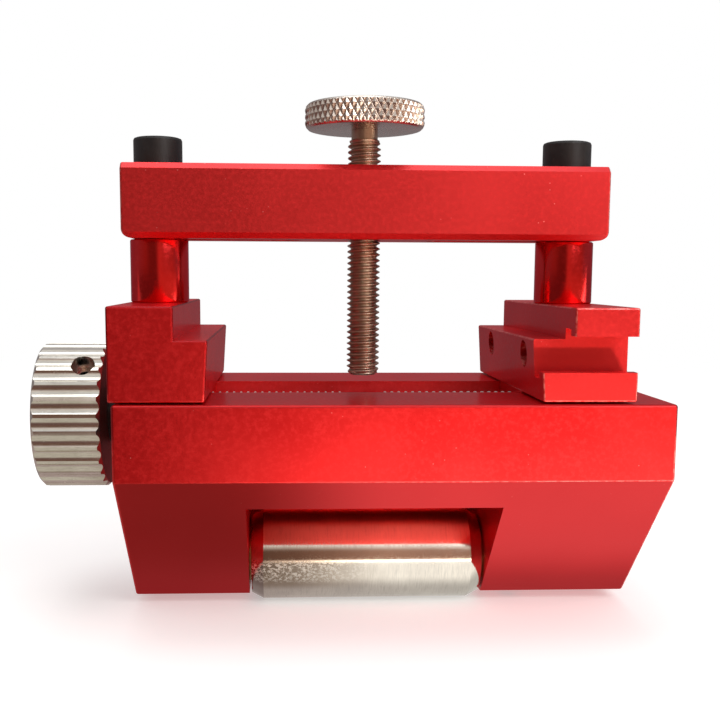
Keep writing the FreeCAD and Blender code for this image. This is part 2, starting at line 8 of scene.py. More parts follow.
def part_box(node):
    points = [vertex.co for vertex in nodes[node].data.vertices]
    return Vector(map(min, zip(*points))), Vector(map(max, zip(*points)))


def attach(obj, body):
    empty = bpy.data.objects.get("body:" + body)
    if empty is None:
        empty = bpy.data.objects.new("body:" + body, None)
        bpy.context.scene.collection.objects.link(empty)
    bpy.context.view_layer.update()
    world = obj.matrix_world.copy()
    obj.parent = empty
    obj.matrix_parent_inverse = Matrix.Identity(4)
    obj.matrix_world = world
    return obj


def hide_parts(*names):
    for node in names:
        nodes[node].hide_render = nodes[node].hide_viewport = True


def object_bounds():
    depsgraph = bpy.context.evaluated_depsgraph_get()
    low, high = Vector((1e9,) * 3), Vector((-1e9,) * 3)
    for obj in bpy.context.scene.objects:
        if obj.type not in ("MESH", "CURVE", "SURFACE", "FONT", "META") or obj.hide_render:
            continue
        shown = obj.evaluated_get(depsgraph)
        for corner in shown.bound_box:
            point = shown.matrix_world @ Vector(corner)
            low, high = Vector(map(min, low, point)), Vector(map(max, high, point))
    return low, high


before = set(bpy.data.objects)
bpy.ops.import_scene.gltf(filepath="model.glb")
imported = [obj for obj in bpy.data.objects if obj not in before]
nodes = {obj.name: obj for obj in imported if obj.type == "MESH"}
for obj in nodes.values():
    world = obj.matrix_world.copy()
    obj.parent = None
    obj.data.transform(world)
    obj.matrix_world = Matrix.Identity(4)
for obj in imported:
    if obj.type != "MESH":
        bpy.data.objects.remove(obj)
cad_lo, cad_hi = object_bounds()
MM = 0.001
rng = np.random.default_rng(7)

# ------------------------------------------------------------------ places
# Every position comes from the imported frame's own boxes.


def mid(node):
    lo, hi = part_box(node)
    return (lo + hi) / 2


BASE_LO, BASE_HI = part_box("base_block")
BAR_LO, BAR_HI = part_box("clamp_bar")
THUMB = mid("thumb_screw_rod")
CLAMP_X = THUMB.x
ROLL = mid("roller")


# ------------------------------------------------------------- mesh helpers
def make(name, verts, faces, body, replaced=(), smooth=40):
    """Mesh object from arrays, riding on a CAD body."""
    me = bpy.data.meshes.new(name)
    me.from_pydata([tuple(map(float, v)) for v in verts], [],
                   [tuple(map(int, f)) for f in faces])
    me.validate()
    me.update()
    ob = bpy.data.objects.new(name, me)
    bpy.context.scene.collection.objects.link(ob)
    shade(ob, smooth)
    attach(ob, body)
    if replaced:
        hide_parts(*replaced)
    return ob


def shade(ob, angle):
    me = ob.data
    me.polygons.foreach_set("use_smooth", [True] * len(me.polygons))
    try:
        me.set_sharp_from_angle(angle=math.radians(angle))
    except AttributeError:
        pass


def grid_faces(rows, cols, wrap=True, flip=False):
    """Quads of a rows x cols grid whose columns close on themselves."""
    out = []
    last = cols if wrap else cols - 1
    for r in range(rows - 1):
        for c in range(last):
            a, b = r * cols + c, r * cols + (c + 1) % cols
            d, e = (r + 1) * cols + c, (r + 1) * cols + (c + 1) % cols
            out.append((a, d, e, b) if flip else (a, b, e, d))
    return out


def along(axis, origin, u, v, w):
    """Points with w along the axis and u, v across it, in the row frame."""
    if axis == "x":
        pts = np.stack([w, u, v], -1)
    else:
        pts = np.stack([u, v, w], -1)
    return pts + np.array(origin)


def lathe(name, axis, origin, profile, body, replaced=(), steps=160,
          smooth=35, closed=False):
    """Turned piece. profile is a list of (radius, place along the axis)."""
    prof = np.array(profile, float)
    ang = np.linspace(0, 2 * math.pi, steps, endpoint=False)
    verts, faces = [], []
    start_pole = prof[0, 0] < 1e-9 and not closed
    end_pole = prof[-1, 0] < 1e-9 and not closed
    rings = prof[(1 if start_pole else 0):(len(prof) - 1 if end_pole else None)]
    r = rings[:, 0][:, None] * np.ones(steps)[None]
    w = rings[:, 1][:, None] * np.ones(steps)[None]
    grid = along(axis, origin, r * np.cos(ang), r * np.sin(ang), w)
    verts = list(grid.reshape(-1, 3))
    faces = grid_faces(len(rings), steps)
    if closed:
        n = len(rings)
        for c in range(steps):
            a, b = (n - 1) * steps + c, (n - 1) * steps + (c + 1) % steps
            faces.append((a, b, (c + 1) % steps, c))
    if start_pole:
        verts.append(along(axis, origin, np.array(0.0), np.array(0.0),
                           np.array(prof[0, 1])))
        k = len(verts) - 1
        faces += [(k, (c + 1) % steps, c) for c in range(steps)]
    if end_pole:
        verts.append(along(axis, origin, np.array(0.0), np.array(0.0),
                           np.array(prof[-1, 1])))
        k = len(verts) - 1
        base = (len(rings) - 1) * steps
        faces += [(k, base + c, base + (c + 1) % steps) for c in range(steps)]
    ob = make(name, verts, faces, body, replaced, smooth)
    outward(ob)
    return ob


def outward(ob):
    import bmesh
    bm = bmesh.new()
    bm.from_mesh(ob.data)
    bmesh.ops.recalc_face_normals(bm, faces=bm.faces)
    bm.to_mesh(ob.data)
    bm.free()
    ob.data.update()


def bend_profile(points, radius, steps=4):
    """Rounds the corners of an open (r, w) outline by a small arc."""
    pts = [np.array(p, float) for p in points]
    out = [pts[0]]
    for i in range(1, len(pts) - 1):
        a, b, c = pts[i - 1], pts[i], pts[i + 1]
        u, v = a - b, c - b
        lu, lv = np.linalg.norm(u), np.linalg.norm(v)
        u, v = u / lu, v / lv
        ang = math.acos(np.clip(u @ v, -1, 1))
        if ang > math.radians(175):
            out.append(b)
            continue
        cut = min(radius / math.tan(ang / 2), 0.45 * lu, 0.45 * lv)
        rad = cut * math.tan(ang / 2)
        centre = b + (u + v) / np.linalg.norm(u + v) * rad / math.sin(ang / 2)
        p0, p1 = b + u * cut - centre, b + v * cut - centre
        a0 = math.atan2(p0[1], p0[0])
        da = (math.atan2(p1[1], p1[0]) - a0 + math.pi) % (2 * math.pi) - math.pi
        for k in range(steps + 1):
            t = a0 + da * k / steps
            out.append(centre + rad * np.array([math.cos(t), math.sin(t)]))
    out.append(pts[-1])
    return out


def thread_shape(phase, depth):
    """Metric thread profile: 0 at the crest, -depth at the root."""
    t = np.abs(((phase + 0.5) % 1.0) - 0.5) * 2.0      # 0 crest, 1 root
    s = np.clip((t - 0.14) / (0.80 - 0.14), 0, 1)
    return -depth * s * s * (3 - 2 * s) * 0.35 - depth * s * 0.65


def threaded(name, axis, origin, sections, body, replaced=(),
             steps=72):
    """Rod made of sections from one end to the other. Each section is
    (length, radius at the start, radius at the end, pitch or 0, hand)."""
    ang = np.linspace(0, 2 * math.pi, steps, endpoint=False)
    rows_r, rows_w = [], []
    w = 0.0
    for length, r0, r1, pitch, hand in sections:
        if pitch:
            n = max(3, int(round(length / pitch * 22)))
            for k in range(n + 1):
                f = k / n
                here = w + f * length
                fade = min(1.0, f * length / (0.9 * pitch),
                           (1 - f) * length / (0.9 * pitch))
                fade = max(0.0, fade)
                ph = here / pitch - hand * ang / (2 * math.pi)
                rad = r0 + thread_shape(ph, 0.58 * pitch) * fade
                rad = rad - (1 - fade) * 0.25 * pitch
                rows_r.append(rad)
                rows_w.append(np.full(steps, here))
        else:
            for f in (0.0, 1.0):
                rows_r.append(np.full(steps, r0 + (r1 - r0) * f))
                rows_w.append(np.full(steps, w + f * length))
        w += length
    r, ww = np.array(rows_r), np.array(rows_w)
    grid = along(axis, origin, r * np.cos(ang), r * np.sin(ang), ww)
    verts = list(grid.reshape(-1, 3))
    faces = grid_faces(len(r), steps)
    for end, w_end in ((0, ww[0, 0]), (len(r) - 1, ww[-1, 0])):
        verts.append(along(axis, origin, np.array(0.0), np.array(0.0),
                           np.array(w_end)))
        k = len(verts) - 1
        for c in range(steps):
            a, b = end * steps + c, end * steps + (c + 1) % steps
            faces.append((k, b, a) if end == 0 else (k, a, b))
    ob = make(name, verts, faces, body, replaced, 50)
    outward(ob)
    return ob


# -------------------------------------------------------------- node helper
class Tree:
    def __init__(self, name):
        self.mat = bpy.data.materials.new(name)
        self.mat.use_nodes = True
        self.nt = self.mat.node_tree
        self.nt.nodes.clear()
        self.out = self.nt.nodes.new("ShaderNodeOutputMaterial")
        self.bsdf = self.nt.nodes.new("ShaderNodeBsdfPrincipled")
        self.nt.links.new(self.bsdf.outputs[0], self.out.inputs[0])
        tc = self.nt.nodes.new("ShaderNodeTexCoord")
        scale = self.nt.nodes.new("ShaderNodeVectorMath")
        scale.operation = "SCALE"
        scale.inputs["Scale"].default_value = 1000.0
        self.nt.links.new(tc.outputs["Object"], scale.inputs[0])
        self.mm = scale.outputs[0]          # object coordinates, millimetres
        self.normal = tc.outputs["Normal"]

    def put(self, socket, value):
        if isinstance(value, bpy.types.NodeSocket):
            self.nt.links.new(value, socket)
        else:
            socket.default_value = value

    def math(self, op, a, b=0.0, c=None, clamp=False):
        n = self.nt.nodes.new("ShaderNodeMath")
        n.operation = op
        n.use_clamp = clamp
        self.put(n.inputs[0], a)
        self.put(n.inputs[1], b)
        if c is not None:
            self.put(n.inputs[2], c)
        return n.outputs[0]

    def step(self, value, low, high, to0=0.0, to1=1.0):
        n = self.nt.nodes.new("ShaderNodeMapRange")
        n.interpolation_type = "SMOOTHSTEP"
        self.put(n.inputs["Value"], value)
        n.inputs["From Min"].default_value = low
        n.inputs["From Max"].default_value = high
        n.inputs["To Min"].default_value = to0
        n.inputs["To Max"].default_value = to1
        return n.outputs[0]

    def stretch(self, scale=(1, 1, 1), move=(0, 0, 0), vec=None):
        n = self.nt.nodes.new("ShaderNodeMapping")
        self.put(n.inputs["Vector"], vec if vec is not None else self.mm)
        n.inputs["Scale"].default_value = scale
        n.inputs["Location"].default_value = move
        return n.outputs[0]

    def noise(self, scale, detail=3.0, rough=0.55, vec=None):
        n = self.nt.nodes.new("ShaderNodeTexNoise")
        self.put(n.inputs["Vector"], vec if vec is not None else self.mm)
        n.inputs["Scale"].default_value = scale
        n.inputs["Detail"].default_value = detail
        n.inputs["Roughness"].default_value = rough
        return n.outputs["Fac"]

    def voronoi(self, scale, vec=None):
        n = self.nt.nodes.new("ShaderNodeTexVoronoi")
        self.put(n.inputs["Vector"], vec if vec is not None else self.mm)
        n.inputs["Scale"].default_value = scale
        return n.outputs["Distance"], n.outputs["Color"]

    def mix(self, fac, a, b):
        n = self.nt.nodes.new("ShaderNodeMix")
        n.data_type = "RGBA"
        self.put(n.inputs[0], fac)
        self.put(n.inputs[6], a)
        self.put(n.inputs[7], b)
        return n.outputs[2]

    def split(self, vec):
        n = self.nt.nodes.new("ShaderNodeSeparateXYZ")
        self.put(n.inputs[0], vec)
        return n.outputs[0], n.outputs[1], n.outputs[2]

    def dot(self, vec, other):
        n = self.nt.nodes.new("ShaderNodeVectorMath")
        n.operation = "DOT_PRODUCT"
        self.put(n.inputs[0], vec)
        n.inputs[1].default_value = other
        return n.outputs["Value"]

    def bump(self, height, distance, strength=1.0, onto=None):
        n = self.nt.nodes.new("ShaderNodeBump")
        n.inputs["Strength"].default_value = strength
        n.inputs["Distance"].default_value = distance
        self.put(n.inputs["Height"], height)
        if onto is not None:
            self.put(n.inputs["Normal"], onto)
        return n.outputs[0]

    def edges(self, flats):
        """1 on the rounded edges, 0 on faces that lie along `flats`."""
        best = None
        for f in flats:
            d = self.math("ABSOLUTE", self.dot(self.normal, f))
            best = d if best is None else self.math("MAXIMUM", best, d)
        return self.step(best, 0.992, 0.93)


AXES = [(1, 0, 0), (0, 1, 0), (0, 0, 1)]


def rgb(r, g, b):
    return (r, g, b, 1.0)


def red_anodised(name, flats, seed, turned=False, rough=0.44, pits=1.0,
                 wear=(0.25, 0.8), edge_light_x=(-0.04, 0.05), edge_light_z=None,
                 pale=0.0, shaded_slant=None, shadow_slot=None):
    """Bright red anodised aluminium: blasted metal under a clear oxide, with
    fine pits, pale nicks mixed with a painted highlight on its broken edges, painted light
    and shade where asked, and slow changes of shade."""
    t = Tree(name)
    shift = t.stretch(move=(seed * 13.7, seed * 5.1, seed * 9.3))
    broad = t.noise(0.055, 2.0, 0.5, shift)
    fine = t.noise(1.5, 4.0, 0.62, shift)
    grain = t.noise(6.5, 2.0, 0.5, shift)
    patch = t.step(t.noise(0.13, 2.0, 0.6, shift), 0.42, 0.66)
    dist, cell = t.voronoi(1.15, shift)
    cr, cg, cb = t.split(cell)
    speck = t.math("MULTIPLY", t.step(dist, 0.14, 0.06),
                   t.step(cr, 0.86, 0.90))
    speck = t.math("MULTIPLY", speck, patch)
    dist2, cell2 = t.voronoi(2.3, shift)
    dr, dg, db = t.split(cell2)
    pit = t.math("MULTIPLY", t.step(dist2, 0.30, 0.12), t.step(dr, 0.66, 0.74))
    pit = t.math("MULTIPLY", pit, t.math("MULTIPLY_ADD", patch, 0.75, 0.25))
    colour = t.mix(t.step(broad, 0.30, 0.70), rgb(0.70, 0.018 + pale, 0.021 + pale),
                   rgb(0.79, 0.026 + pale, 0.029 + pale))
    colour = t.mix(t.math("MULTIPLY", t.step(fine, 0.42, 0.72), 0.42), colour,
                   rgb(0.88, 0.046, 0.050))
    colour = t.mix(t.math("MULTIPLY", pit, 0.26 * pits), colour,
                   rgb(0.42, 0.006, 0.010))
    colour = t.mix(t.math("MULTIPLY", speck, 0.80 * pits), colour,
                   rgb(0.98, 0.34, 0.34))
    roughness = t.step(fine, 0.25, 0.75, rough - 0.04, rough + 0.06)
    if shaded_slant:
        # painted shade: the slanted faces, which face downwards, are coloured duller to
        # stand for the shade on them
        side = None
        for f in shaded_slant:
            d = t.math("ABSOLUTE", t.dot(t.normal, f))
            side = d if side is None else t.math("MAXIMUM", side, d)
        colour = t.mix(t.math("MULTIPLY", t.step(side, 0.95, 0.985), 0.70),
                       colour, rgb(0.47, 0.019, 0.021))
        # painted light: the roof inside the roller's pocket is coloured brighter, standing
        # for light falling on it
        x, y, z = t.split(t.mm)
        lit_roof = t.step(t.dot(t.normal, (0, 0, 1)), -0.80, -0.95)
        lit_roof = t.math("MULTIPLY", lit_roof, t.step(z, 12.0, 15.0))
        colour = t.mix(lit_roof, colour, rgb(0.96, 0.085, 0.070))
    if shadow_slot:
        # painted shadow: the recessed face of the slot in the front end is darkened below
        # its top and left of a slanted edge, standing for the shadow of the slot's lower
        # lip
        y_in, z_top, x_end = shadow_slot
        x, y, z = t.split(t.mm)
        front = t.step(t.dot(t.normal, (0, 1, 0)), -0.80, -0.95)
        slot_shadow = t.math("MULTIPLY", front, t.step(y, y_in, y_in + 0.6))
        slot_shadow = t.math("MULTIPLY", slot_shadow, t.step(z, z_top, z_top - 0.5))
        limit = t.math("MULTIPLY_ADD", z, 0.55, x)
        slot_shadow = t.math("MULTIPLY", slot_shadow, t.step(
            limit, x_end + 0.55 * z_top + 0.4, x_end + 0.55 * z_top - 0.5))
        colour = t.mix(t.math("MULTIPLY", slot_shadow, 0.52), colour,
                       rgb(0.22, 0.004, 0.006))
    if flats:
        edge = t.edges(flats)
        chips = t.step(t.noise(0.9, 3.0, 0.7, shift), 0.38, 0.60)
        x, y, z = t.split(t.mm)
        # painted light: the edge marks grow stronger towards +x, standing for the light
        # that falls more on that side
        edge_light_ramp = t.step(x, edge_light_x[0] * 1000, edge_light_x[1] * 1000, wear[0],
                         wear[1])
        # pale edge marks: real nicks (chips) mixed with a painted highlight on the rounded
        # edges
        wear_and_glint = t.math("MULTIPLY", edge, t.math("MULTIPLY_ADD", chips, 0.70,
                                               0.12))
        wear_and_glint = t.math("MULTIPLY", wear_and_glint, edge_light_ramp)
        if edge_light_z:
            # painted highlight and shade: edge marks are kept to edges below a height, and
            # edges above it are darkened
            lit_low_edges = t.step(z, edge_light_z[0] * 1000, edge_light_z[1] * 1000)
            wear_and_glint = t.math("MULTIPLY", wear_and_glint, lit_low_edges)
            shaded_top_edges = t.math("MULTIPLY", edge,
                          t.math("SUBTRACT", 1.0, lit_low_edges))
            colour = t.mix(t.math("MULTIPLY", shaded_top_edges, 0.85), colour,
                           rgb(0.30, 0.006, 0.010))
        colour = t.mix(wear_and_glint, colour, rgb(0.98, 0.36, 0.33))
        roughness = t.math("ADD", roughness, t.math("MULTIPLY", wear_and_glint, 0.10))
    roughness = t.math("ADD", roughness, t.math("MULTIPLY", speck, 0.1),
                       clamp=True)
    t.put(t.bsdf.inputs["Base Color"], colour)
    t.bsdf.inputs["Metallic"].default_value = 1.0
    t.put(t.bsdf.inputs["Roughness"], roughness)
    t.bsdf.inputs["Specular Tint"].default_value = rgb(0.86, 0.42, 0.48)
    t.bsdf.inputs["Coat Weight"].default_value = 0.28
    t.bsdf.inputs["Coat Roughness"].default_value = 0.18
    t.bsdf.inputs["Coat IOR"].default_value = 1.5
    height = t.math("SUBTRACT", t.math("MULTIPLY", grain, 0.4),
                    t.math("MULTIPLY", pit, 0.8 * pits))
    height = t.math("ADD", height, t.math("MULTIPLY", fine, 0.7))
    if turned:
        rings = t.noise(1.0, 2.0, 0.6, t.stretch(scale=(0.2, 0.2, 14.0)))
        height = t.math("ADD", t.math("MULTIPLY", height, 0.25),
                        t.math("MULTIPLY", rings, 0.5))
    t.put(t.bsdf.inputs["Normal"], t.bump(height, 0.000010, 0.8))
    return t.mat


def metal(name, colour_a, colour_b, rough, streak=None, streak_scale=1.0,
          scuff=0.0, seed=0.0, bump=0.000004, rub_and_painted_light=None,
          shaded_inner_face=False, socket=None):
    """Bare or plated metal with a fine directional finish and light wear."""
    t = Tree(name)
    shift = t.stretch(move=(seed * 7.7, seed * 3.1, seed * 11.3))
    lines = t.noise(streak_scale, 3.0, 0.6,
                    t.stretch(scale=streak or (1, 1, 1),
                              move=(seed, seed * 2.0, seed * 3.0)))
    cloud = t.noise(0.16, 3.0, 0.6, shift)
    fine = t.noise(3.1, 3.0, 0.6, shift)
    colour = t.mix(t.step(cloud, 0.32, 0.70), rgb(*colour_a), rgb(*colour_b))
    colour = t.mix(t.math("MULTIPLY", t.step(lines, 0.45, 0.75), 0.30), colour,
                   rgb(*[c * 0.62 for c in colour_a]))
    roughness = t.step(lines, 0.30, 0.75, rough - 0.05, rough + 0.08)
    height = t.math("MULTIPLY", lines, 0.8)
    if scuff:
        dist, cell = t.voronoi(1.0, t.stretch(scale=(2.2, 1.1, 1.1),
                                              move=(3, 1, 2)))
        cr, cg, cb = t.split(cell)
        mask = t.step(t.noise(0.22, 2.0, 0.6, shift), 0.44, 0.62)
        chip = t.math("MULTIPLY", t.step(dist, 0.42, 0.20),
                      t.step(cr, 0.45, 0.60))
        chip = t.math("MULTIPLY", chip, mask)
        colour = t.mix(t.math("MULTIPLY", chip, 0.55 * scuff), colour,
                       rgb(0.95, 0.92, 0.84))
        roughness = t.math("ADD", roughness,
                           t.math("MULTIPLY", chip, 0.16 * scuff), clamp=True)
        height = t.math("SUBTRACT", height,
                        t.math("MULTIPLY", chip, 1.6 * scuff))
    if socket:
        # painted shade: a dark disc stands for the shade inside the key socket, round
        # which the rim stays bright
        centre, way, radius = socket
        off = t.nt.nodes.new("ShaderNodeVectorMath")
        off.operation = "SUBTRACT"
        t.put(off.inputs[0], t.mm)
        off.inputs[1].default_value = centre
        cross = t.nt.nodes.new("ShaderNodeVectorMath")
        cross.operation = "CROSS_PRODUCT"
        t.put(cross.inputs[0], off.outputs[0])
        cross.inputs[1].default_value = way
        size = t.nt.nodes.new("ShaderNodeVectorMath")
        size.operation = "LENGTH"
        t.put(size.inputs[0], cross.outputs[0])
        socket_shade = t.step(size.outputs["Value"], radius * 0.66, radius * 0.54)
        colour = t.mix(socket_shade, colour, rgb(0.010, 0.008, 0.008))
        roughness = t.math("ADD", roughness, t.math("MULTIPLY", socket_shade, 0.4),
                           clamp=True)
    if shaded_inner_face:
        # painted shade: the face turned to the base is darkened to a red-brown and made
        # rougher, standing for the shade in the narrow gap and the red base reflected in
        # it
        gap_shade = t.step(t.dot(t.normal, (1, 0, 0)), 0.55, 0.85)
        colour = t.mix(t.math("MULTIPLY", gap_shade, 0.68), colour,
                       rgb(0.22, 0.06, 0.055))
        roughness = t.math("ADD", roughness, t.math("MULTIPLY", gap_shade, 0.28),
                           clamp=True)
    if rub_and_painted_light:
        # a rubbed strip along one side of the tread, worse towards one end
        cy, cz, x_from, x_to, x_end = rub_and_painted_light
        x, y, z = t.split(t.mm)
        turn = t.math("ARCTAN2", t.math("SUBTRACT", z, cz),
                      t.math("SUBTRACT", cy, y))
        strip = t.math("MULTIPLY", t.step(turn, 0.14, -0.04),
                       t.step(turn, -0.50, -0.28))
        strip = t.math("MULTIPLY", strip, t.step(x, x_to, x_from))
        # painted reflection: a brown band along the front of the tread, towards the left
        # end, stands for the dim warm surroundings reflected there
        reflected_brown_band = t.math("MULTIPLY", t.step(turn, 0.50, 0.30),
                      t.step(turn, -0.70, -0.45))
        reflected_brown_band = t.math("MULTIPLY", reflected_brown_band, t.step(x, x_to + 3.0, x_from + 4.0))
        rub = t.noise(2.4, 4.0, 0.74, t.stretch(scale=(0.7, 1.0, 1.0)))
        spot = t.step(t.noise(0.42, 3.0, 0.6, shift), 0.28, 0.50)
        chip = t.math("MULTIPLY", t.step(rub, 0.49, 0.55), spot)
        chip = t.math("MULTIPLY", chip, strip)
        strip = t.math("MULTIPLY", strip, t.step(x, x_end - 0.1, x_end + 0.1))
        colour = t.mix(t.math("MULTIPLY", reflected_brown_band, 0.68), colour,
                       rgb(0.28, 0.20, 0.14))
        # painted shade: the chamfer at the left end of the tread is darkened
        colour = t.mix(t.step(x, x_end + 0.08, x_end - 0.04, 0.0, 0.62),
                       colour, rgb(0.20, 0.15, 0.15))
        colour = t.mix(t.math("MULTIPLY", chip, 0.95), colour,
                       rgb(0.97, 0.95, 0.90))
        roughness = t.math("ADD", roughness, t.math("MULTIPLY", chip, 0.42),
                           clamp=True)
        height = t.math("SUBTRACT", height, t.math("MULTIPLY", chip, 2.4))
    height = t.math("ADD", height, t.math("MULTIPLY", fine, 0.25))
    t.put(t.bsdf.inputs["Base Color"], colour)
    t.bsdf.inputs["Metallic"].default_value = 1.0
    t.put(t.bsdf.inputs["Roughness"], roughness)
    t.put(t.bsdf.inputs["Normal"], t.bump(height, bump, 0.8))
    return t.mat


def black_oxide(name, seed=0.0):
    t = Tree(name)
    shift = t.stretch(move=(seed * 7.7, seed * 3.1, seed * 11.3))
    fine = t.noise(2.4, 4.0, 0.6, shift)
    cloud = t.noise(0.35, 2.0, 0.5, shift)
    colour = t.mix(t.step(cloud, 0.3, 0.7), rgb(0.008, 0.008, 0.009),
                   rgb(0.015, 0.014, 0.014))
    colour = t.mix(t.math("MULTIPLY", t.step(fine, 0.55, 0.8), 0.5), colour,
                   rgb(0.030, 0.027, 0.027))
    t.put(t.bsdf.inputs["Base Color"], colour)
    t.bsdf.inputs["Metallic"].default_value = 0.0
    t.bsdf.inputs["Specular IOR Level"].default_value = 0.42
    t.put(t.bsdf.inputs["Roughness"], t.step(fine, 0.2, 0.8, 0.34, 0.48))
    t.put(t.bsdf.inputs["Normal"], t.bump(fine, 0.000012, 0.6))
    return t.mat


def paint(node, mat):
    ob = nodes[node]
    ob.data.materials.clear()
    ob.data.materials.append(mat)
    for p in ob.data.polygons:
        p.material_index = 0


# ---------------------------------------------------------------- materials
bevel_y = (BASE_HI.y - BASE_LO.y) / 2 - 0.0042
bevel_z = (BASE_HI.z - BASE_LO.z) - 0.012
bl = math.hypot(bevel_y, bevel_z)
BEVEL = [(0, bevel_z / bl, -bevel_y / bl), (0, bevel_z / bl, bevel_y / bl)]
M_BASE = red_anodised("red_base", AXES + BEVEL, 1.0, wear=(0.10, 0.80),
                      edge_light_x=(-0.010, 0.030), edge_light_z=(0.034, 0.031),
                      shaded_slant=BEVEL)
M_JAW_L = red_anodised("red_left_jaw", AXES, 2.0, wear=(0.25, 0.45),
                       edge_light_z=(0.0400, 0.0396))
jr_lo, jr_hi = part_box("right_jaw")
M_JAW_R = red_anodised("red_right_jaw", AXES, 3.0, wear=(0.7, 0.9),
                       edge_light_x=(0.02, 0.04),
                       shadow_slot=(jr_lo.y * 1000 + 0.8, 46.9,
                               jr_hi.x * 1000 - 2.7),
                       pale=0.012)
c45 = math.sqrt(0.5)
M_BAR = red_anodised("red_bar", AXES + [(0, c45, c45), (0, c45, -c45)], 4.0,
                     rough=0.42, wear=(0.45, 0.85), pale=0.018)
M_POST = red_anodised("red_spacer", None, 5.0, turned=True, rough=0.15,
                      pits=0.2)
M_PLATE = red_anodised("red_plate", AXES, 6.0, wear=(0.2, 0.2))
M_KNOB = metal("bright_nickel", (0.66, 0.62, 0.55), (0.76, 0.72, 0.66), 0.19,
               streak=(0.6, 4.0, 4.0), streak_scale=1.0, scuff=0.2, seed=1,
               shaded_inner_face=True)
M_THUMB = metal("warm_nickel", (0.60, 0.53, 0.47), (0.70, 0.63, 0.57), 0.26,
                streak=(3.0, 3.0, 3.0), scuff=0.2, seed=2)
M_ROD = metal("thread_nickel", (0.42, 0.33, 0.25), (0.52, 0.43, 0.34), 0.36,
              streak=(2.0, 2.0, 5.0), scuff=0.0, seed=3)
M_ROLLER = metal("ground_steel", (0.62, 0.59, 0.54), (0.70, 0.67, 0.61), 0.13,
                 streak=(5.0, 0.4, 0.4), streak_scale=1.0, scuff=0.0, seed=4,
                 bump=0.0000016,
                 rub_and_painted_light=(ROLL.y * 1000, ROLL.z * 1000, -13.0, 8.0,
                       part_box("roller")[0].x * 1000 + 2.1))
gs_lo, gs_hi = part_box("knob_set_screw")
gs = (gs_lo + gs_hi) / 2
ks = mid("knob")
gs_way = Vector((0, gs.y - ks.y, gs.z - ks.z)).normalized()
M_GRUB = metal("set_screw_end", (0.80, 0.78, 0.74), (0.88, 0.86, 0.82), 0.25,
               streak=(3.0, 3.0, 3.0), seed=8,
               socket=(tuple(gs * 1000), tuple(gs_way),
                       (gs_hi.x - gs_lo.x) * 500))
M_SCREW = metal("zinc_screw", (0.74, 0.70, 0.67), (0.84, 0.80, 0.77), 0.27,
                streak=(5.0, 1.0, 1.0), scuff=0.0, seed=5)
M_LEAD = metal("lead_thread", (0.86, 0.82, 0.80), (0.92, 0.89, 0.87), 0.50,
               streak=(5.0, 1.0, 1.0), scuff=0.0, seed=9)
M_BLACK = black_oxide("black_oxide", 1.0)
M_BRONZE = metal("bronze", (0.46, 0.29, 0.12), (0.58, 0.38, 0.17), 0.38,
                 streak=(3.0, 1.0, 1.0), scuff=0.0, seed=6)

for node, mat in (("base_block", M_BASE), ("bearing_plate", M_PLATE),
                  ("left_jaw", M_JAW_L), ("right_jaw", M_JAW_R),
                  ("clamp_bar", M_BAR), ("bearing_plate_screws", M_BLACK),
                  ("knob_set_screw", M_GRUB), ("axle_set_screw", M_BLACK),
                  ("lead_screw_bush_left", M_BRONZE),
                  ("lead_screw_bush_right", M_BRONZE),
                  ("roller_bush_left", M_BRONZE),
                  ("roller_bush_right", M_BRONZE),
                  ("roller_washers", M_BRONZE), ("thrust_washer", M_BRONZE),
                  # painted shade: the knob spacer gets the black finish because it lies in
                  # the dark gap between knob and base; its own colour is not known
                  ("knob_spacer", M_BLACK), ("roller_axle", M_SCREW),
                  ("knob", M_KNOB), ("left_cap_screw", M_BLACK),
                  ("right_cap_screw", M_BLACK), ("left_spacer", M_POST),
                  ("right_spacer", M_POST), ("roller", M_ROLLER),
                  ("thumb_screw_rod", M_ROD), ("thumb_screw_head", M_THUMB),
                  ("lead_screw", M_SCREW)):
    paint(node, mat)


def coat(ob, mat):
    ob.data.materials.clear()
    ob.data.materials.append(mat)
    return ob


# ------------------------------------------------------- thumb screw's rod
lo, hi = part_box("thumb_screw_rod")
disc_lo, disc_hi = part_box("thumb_screw_head")
R = (hi.x - lo.x) / 2
tip, top = lo.z, disc_lo.z
rod = threaded("thumb_screw_rod_thread", "z", (CLAMP_X, 0, tip), [
    (0.35 * MM, R - 0.75 * MM, R - 0.40 * MM, 0, 1),
    (top - tip - (0.35 + 1.8) * MM, R, R, 1.0 * MM, 1),
    (0.20 * MM, R - 0.25 * MM, R - 0.58 * MM, 0, 1),
    (1.60 * MM, R - 0.58 * MM, R - 0.58 * MM, 0, 1),
    (0.02 * MM, R - 0.58 * MM, R - 0.75 * MM, 0, 1),
    (hi.z - top - 0.02 * MM, R - 0.75 * MM, R - 0.75 * MM, 0, 1)],
    "thumb_rod", ["thumb_screw_rod"])
coat(rod, M_ROD)

# ------------------------------------------------- knurled thumb screw head
R = (disc_hi.x - disc_lo.x) / 2
thick = disc_hi.z - disc_lo.z
steps, rows = 53 * 16, 44
ang = np.linspace(0, 2 * math.pi, steps, endpoint=False)
cham = 0.62 * MM
ring_r, ring_w = [], []


def knurl(z):
    """Depth of the diamond knurl below the rim at height z, per angle."""
    arc = ang * R
    pitch = 2 * math.pi * R / 53
    lean = math.tan(math.radians(30))
    a = (arc + z * lean) / pitch
    b = (arc - z * lean) / pitch
    cut = np.minimum(np.abs((a % 1) - 0.5), np.abs((b % 1) - 0.5)) * 2
    return 0.36 * MM * (1 - np.clip(cut / 0.86, 0, 1) ** 1.1)


